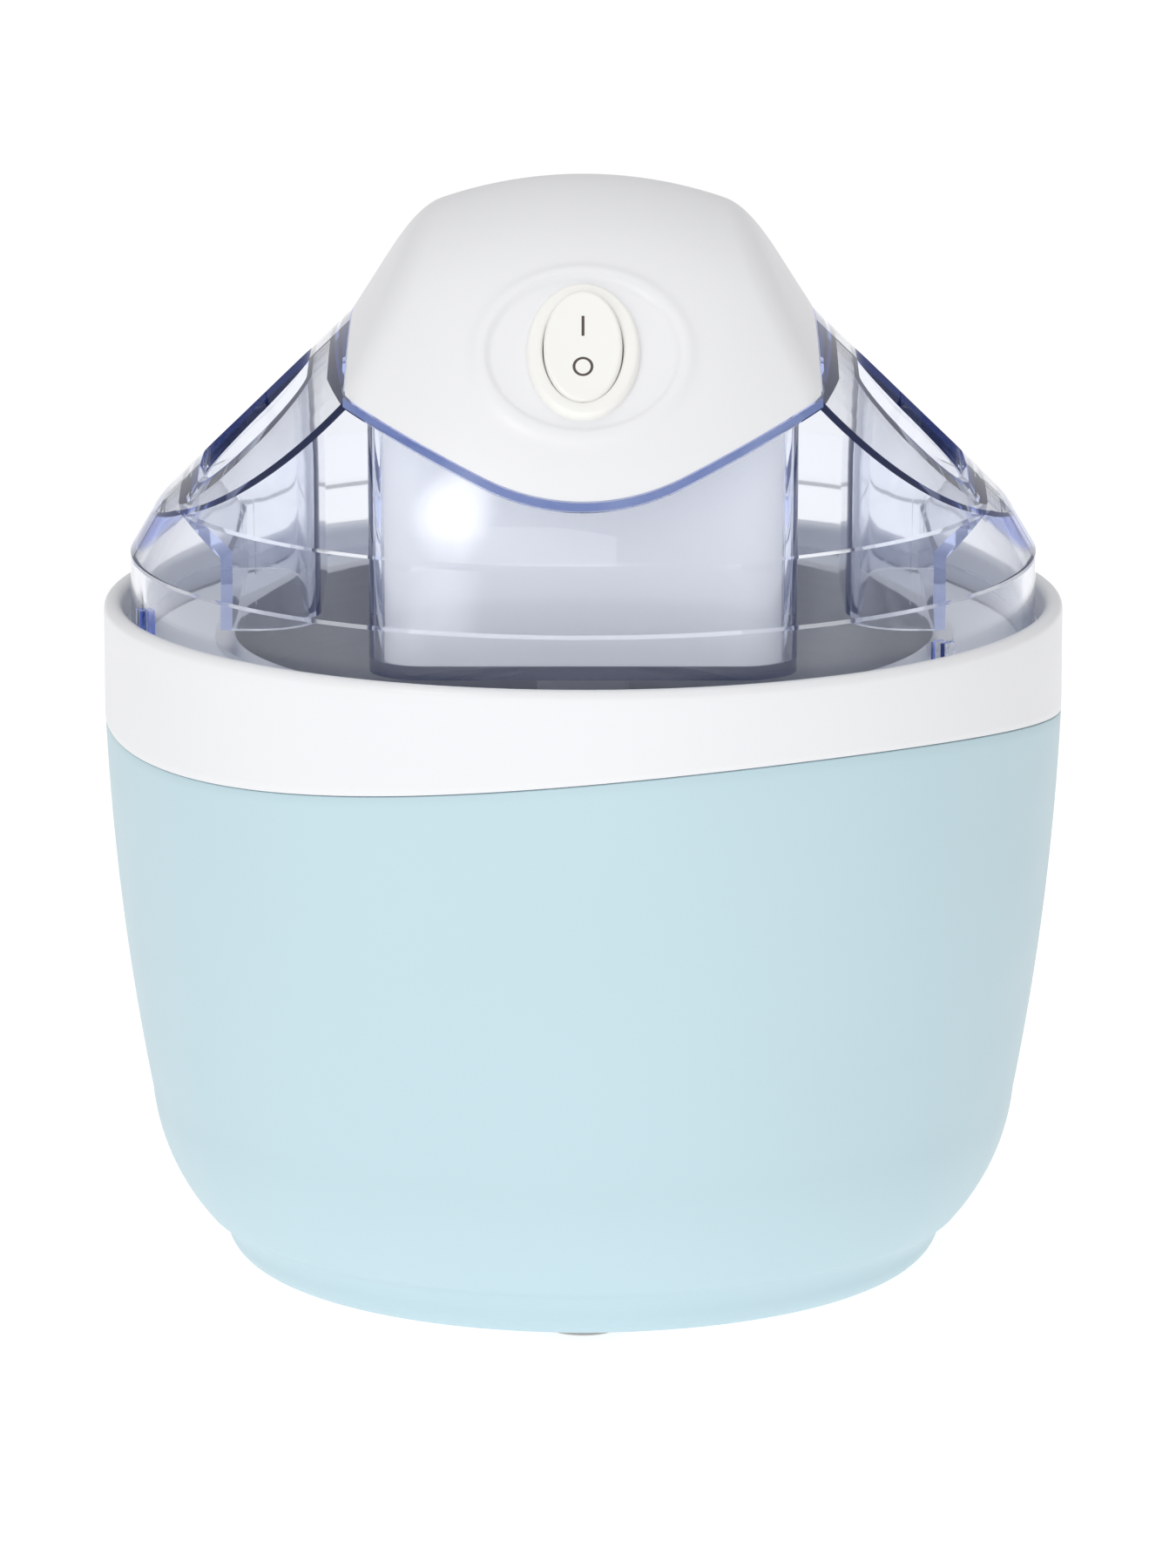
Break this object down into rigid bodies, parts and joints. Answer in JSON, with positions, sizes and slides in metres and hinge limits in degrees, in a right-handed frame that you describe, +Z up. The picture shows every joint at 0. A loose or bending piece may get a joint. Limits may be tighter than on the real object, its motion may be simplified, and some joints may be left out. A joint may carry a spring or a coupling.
{
  "type": "ice cream maker",
  "caption": "Small round electric ice cream maker: cooled bowl in a tapered housing, clear lid with side filler slots, lift-out motor unit with a rocker switch on top.",
  "frame": {"origin": "on the table under the bowl's axis", "axes": "+Z up along the bowl's axis, front with the switch towards -Y"},
  "size_m": [0.176, 0.176, 0.203],
  "materials": {
    "shell_blue": "satin moulded",
    "ring_white": "semi-gloss moulded",
    "foot_rubber": "matte",
    "steel": "zinc plated",
    "liner_aluminium": "satin spun",
    "bowl_plastic": "moulded",
    "coolant": "gel",
    "paddle_white": "moulded",
    "lid_clear": "clear polished",
    "motor_white": "semi-gloss moulded",
    "switch_cream": "satin moulded",
    "brass": "plain",
    "seal_rubber": "matte",
    "gear_nylon": "moulded",
    "copper_wire": "enamelled",
    "magnet_dark": "sintered"
  },
  "bodies": {
    "housing": {"outer_shell": "shell_blue", "upper_ring": "ring_white", "base_plate": "ring_white", "foot_front": "foot_rubber", "foot_left": "foot_rubber", "foot_right": "foot_rubber", "base_screws": "steel"},
    "bowl": {"bowl_liner": "liner_aluminium", "bowl_rim": "bowl_plastic", "bowl_outer": "bowl_plastic", "coolant_fill": "coolant", "filler_plug": "bowl_plastic"},
    "paddle": {"paddle": "paddle_white"},
    "lid": {"lid": "lid_clear"},
    "motor_unit": {"motor_top_cover": "motor_white", "motor_lower_case": "motor_white", "case_screws": "steel", "cord_gland": "motor_white", "switch_frame": "switch_cream", "switch_terminals": "brass", "shaft_bush": "brass", "shaft_seal": "seal_rubber", "idler_pin": "steel", "gear_plate": "steel", "plate_screws": "steel", "motor_can": "steel", "coil_bobbin": "gear_nylon", "coil_winding": "copper_wire", "rotor_axle": "steel"},
    "rocker": {"rocker": "switch_cream"},
    "output": {"output_gear": "gear_nylon", "output_shaft": "steel", "drive_coupling": "gear_nylon"},
    "idler": {"idler_gear": "gear_nylon"},
    "rotor": {"rotor_magnet": "magnet_dark", "rotor_pinion": "gear_nylon"}
  },
  "joints": [
    {"name": "bowl_lift", "type": "slide", "parent": "housing", "child": "bowl", "axis": [0, 0, 1], "range_m": [0, 0.12]},
    {"name": "paddle_turn", "type": "hinge", "parent": "bowl", "child": "paddle", "pos_m": [0, 0, 0.07], "axis": [0, 0, 1], "continuous": true},
    {"name": "lid_lift", "type": "slide", "parent": "bowl", "child": "lid", "axis": [0, 0, 1], "range_m": [0, 0.07]},
    {"name": "motor_lift", "type": "slide", "parent": "lid", "child": "motor_unit", "axis": [0, 0, 1], "range_m": [0, 0.06]},
    {"name": "rocker_press", "type": "hinge", "parent": "motor_unit", "child": "rocker", "pos_m": [0, -0.05279, 0.17961], "axis": [1, 0, 0], "range_deg": [-14, 0]},
    {"name": "output_turn", "type": "hinge", "parent": "motor_unit", "child": "output", "pos_m": [0, 0, 0.12], "axis": [0, 0, 1], "continuous": true},
    {"name": "idler_turn", "type": "hinge", "parent": "motor_unit", "child": "idler", "pos_m": [0, 0.024, 0.13], "axis": [0, 0, 1], "continuous": true},
    {"name": "rotor_turn", "type": "hinge", "parent": "motor_unit", "child": "rotor", "pos_m": [0, 0.0045, 0.15], "axis": [0, 0, 1], "continuous": true}
  ],
  "couplings": [
    {"joint": "output_turn", "follows": "paddle_turn", "ratio": 1},
    {"joint": "idler_turn", "follows": "paddle_turn", "ratio": -3},
    {"joint": "rotor_turn", "follows": "paddle_turn", "ratio": 10}
  ]
}
